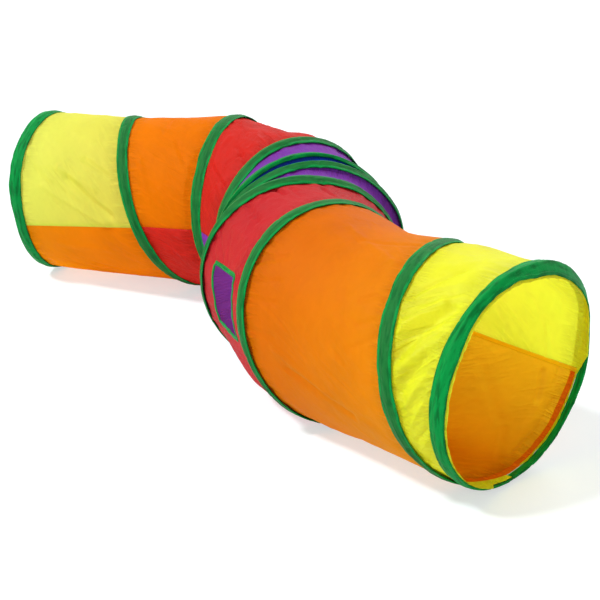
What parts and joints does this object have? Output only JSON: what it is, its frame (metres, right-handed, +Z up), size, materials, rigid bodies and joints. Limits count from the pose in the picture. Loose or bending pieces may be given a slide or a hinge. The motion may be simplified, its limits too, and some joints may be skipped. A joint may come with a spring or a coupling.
{
  "type": "cat tunnel",
  "caption": "Soft pop-up tunnel for cats: a spring-wire helix in a sewn tape joins strips of cloth into a tube that bends, folds flat and has a peephole.",
  "frame": {"origin": "on the floor, under the middle of the tunnel's outline", "axes": "+Z up, +X from the far mouth to the near mouth, along the longest side of the outline; the far leg runs along +X"},
  "size_m": [0.891, 0.6488, 0.2534],
  "materials": {
    "cloth_yellow": "thin woven polyester taffeta, slightly shiny",
    "cloth_orange": "thin woven polyester taffeta, slightly shiny",
    "cloth_red": "thin woven polyester taffeta, slightly shiny",
    "cloth_purple": "thin woven polyester taffeta, slightly shiny",
    "cloth_blue": "thin woven polyester taffeta, slightly shiny",
    "green_tape": "shiny woven binding tape",
    "spring_steel": "drawn spring wire",
    "black_plastic": "moulded"
  },
  "bodies": {
    "turn_1": {"tape_turn_1": "green_tape", "strip_1_yellow": "cloth_yellow", "spring_wire": "spring_steel", "wire_cap_far": "black_plastic"},
    "turn_2": {"tape_turn_2": "green_tape", "strip_2_orange": "cloth_orange"},
    "turn_3": {"tape_turn_3": "green_tape", "strip_3_red": "cloth_red"},
    "turn_4": {"tape_turn_4": "green_tape", "strip_4_purple": "cloth_purple"},
    "turn_5": {"tape_turn_5": "green_tape", "strip_5_blue": "cloth_blue"},
    "turn_6": {"tape_turn_6": "green_tape", "strip_6_purple": "cloth_purple"},
    "turn_7": {"tape_turn_7": "green_tape", "strip_7_red": "cloth_red", "window_binding": "green_tape"},
    "turn_8": {"tape_turn_8": "green_tape", "strip_8_orange": "cloth_orange"},
    "turn_9": {"tape_turn_9": "green_tape", "strip_9_yellow": "cloth_yellow"},
    "turn_10": {"tape_turn_10": "green_tape", "wire_cap_near": "black_plastic"}
  },
  "joints": [
    {"name": "fold_strip_1", "type": "slide", "parent": "turn_1", "child": "turn_2", "axis": [-1, 0, 0], "range_m": [0, 0.11907], "stiffness_N_per_m": 25, "deforming": ["strip_1_yellow", "spring_wire", "tape_turn_2"]},
    {"name": "fold_strip_2", "type": "hinge", "parent": "turn_2", "child": "turn_3", "pos_m": [-0.30933, -0.7185, 0.12671], "axis": [0, 0, 1], "range_deg": [0, 9.06], "stiffness_Nm_per_rad": 20.471, "deforming": ["strip_2_orange", "spring_wire", "tape_turn_3"]},
    {"name": "fold_strip_3", "type": "hinge", "parent": "turn_3", "child": "turn_4", "pos_m": [-0.19979, -0.06393, 0.12671], "axis": [0, 0, 1], "range_deg": [0, 31.53], "stiffness_Nm_per_rad": 1.813, "deforming": ["strip_3_red", "spring_wire", "tape_turn_4"]},
    {"name": "fold_strip_4", "type": "hinge", "parent": "turn_4", "child": "turn_5", "pos_m": [-0.35036, -0.22825, 0.12671], "axis": [0, 0, 1], "range_deg": [0, 8.19], "stiffness_Nm_per_rad": 5.924, "deforming": ["strip_4_purple", "spring_wire", "tape_turn_5"]},
    {"name": "fold_strip_5", "type": "hinge", "parent": "turn_5", "child": "turn_6", "pos_m": [-0.14025, -0.06112, 0.12671], "axis": [0, 0, 1], "range_deg": [0, 7.58], "stiffness_Nm_per_rad": 1.062, "deforming": ["strip_5_blue", "spring_wire", "tape_turn_6"]},
    {"name": "fold_strip_6", "type": "slide", "parent": "turn_6", "child": "turn_7", "axis": [-0.4848, 0.8746, 0], "range_m": [0, 0.04858], "stiffness_N_per_m": 25, "deforming": ["strip_6_purple", "spring_wire", "tape_turn_7"]},
    {"name": "fold_strip_7", "type": "hinge", "parent": "turn_7", "child": "turn_8", "pos_m": [0.36122, 0.15342, 0.12671], "axis": [0, 0, -1], "range_deg": [0, 16.38], "stiffness_Nm_per_rad": 3.096, "deforming": ["strip_7_red", "spring_wire", "tape_turn_8", "window_binding"]},
    {"name": "fold_strip_8", "type": "hinge", "parent": "turn_8", "child": "turn_9", "pos_m": [0.49164, 0.29085, 0.12671], "axis": [0, 0, -1], "range_deg": [0, 18.77], "stiffness_Nm_per_rad": 7.379, "deforming": ["strip_8_orange", "spring_wire", "tape_turn_9"]},
    {"name": "fold_strip_9", "type": "slide", "parent": "turn_9", "child": "turn_10", "axis": [-0.9135, 0.4067, 0], "range_m": [0, 0.09817], "stiffness_N_per_m": 25, "deforming": ["strip_9_yellow", "spring_wire"]}
  ]
}
